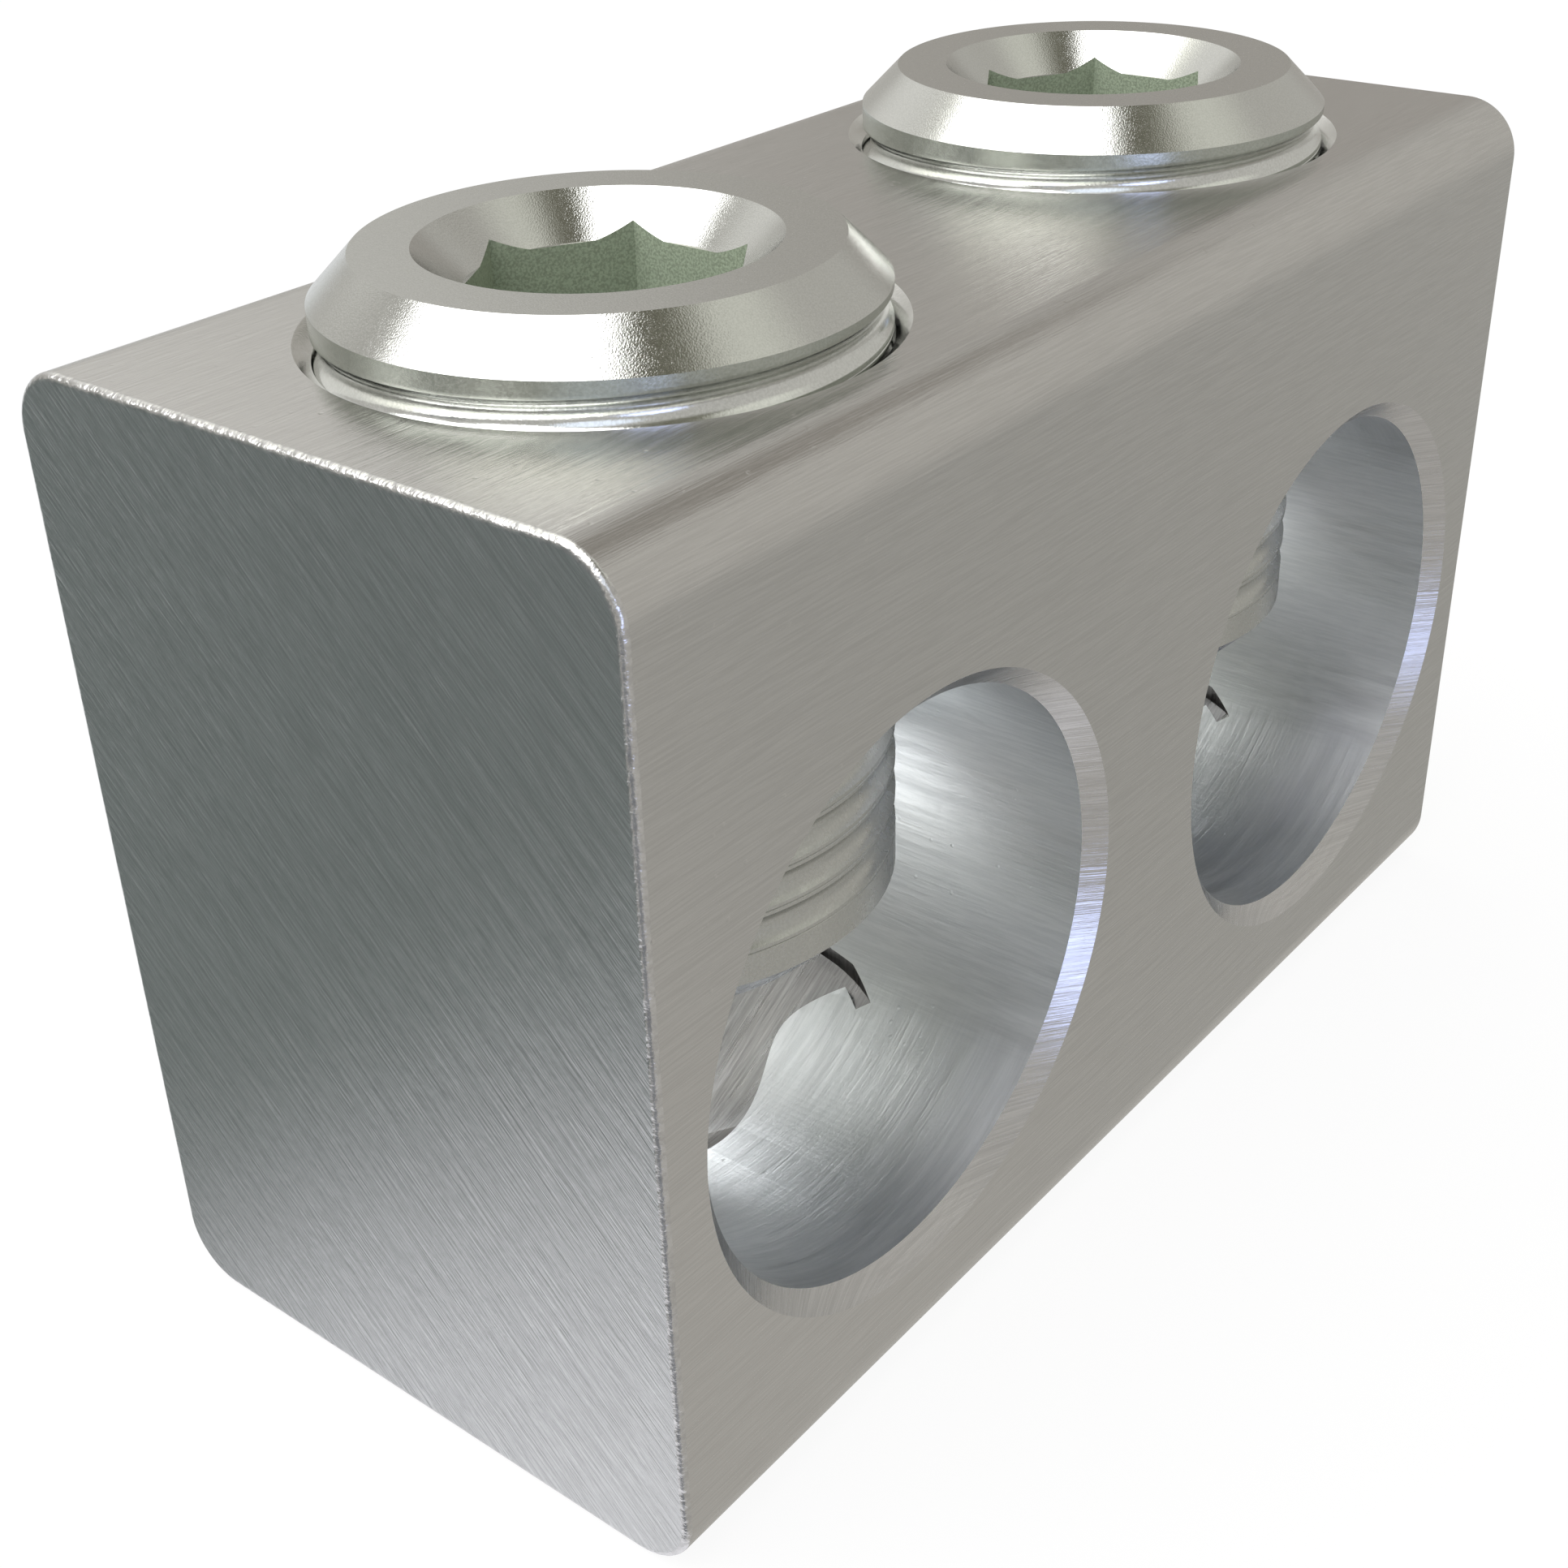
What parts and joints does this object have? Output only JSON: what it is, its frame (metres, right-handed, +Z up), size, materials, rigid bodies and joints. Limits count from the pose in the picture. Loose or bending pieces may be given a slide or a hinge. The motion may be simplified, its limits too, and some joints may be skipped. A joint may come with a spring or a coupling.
{
  "type": "multiple cable tap connector",
  "caption": "Rectangular metal cable tap: a solid block with through bores for bare conductors, each clamped from above by a large hex-socket screw in a tapped hole.",
  "frame": {"origin": "middle of the block's flat bottom face, on which it rests", "axes": "+X along the row of ports, from the left port to the right one; -Y out of the front face with the bore mouths; +Z up, out of the face that the clamp screws stand in"},
  "size_m": [0.0626, 0.0286, 0.0443],
  "materials": {
    "tinned_block": "satin",
    "plated_screw": "satin"
  },
  "bodies": {
    "connector_body": {"connector_body": "tinned_block"},
    "clamp_screw_left": {"clamp_screw_left": "plated_screw"},
    "clamp_screw_right": {"clamp_screw_right": "plated_screw"}
  },
  "joints": [
    {"name": "screw_travel_left", "type": "slide", "parent": "connector_body", "child": "clamp_screw_left", "axis": [0, 0, 1], "range_m": [-0.00635, 0.01746]},
    {"name": "screw_travel_right", "type": "slide", "parent": "connector_body", "child": "clamp_screw_right", "axis": [0, 0, 1], "range_m": [-0.00635, 0.01746]}
  ]
}
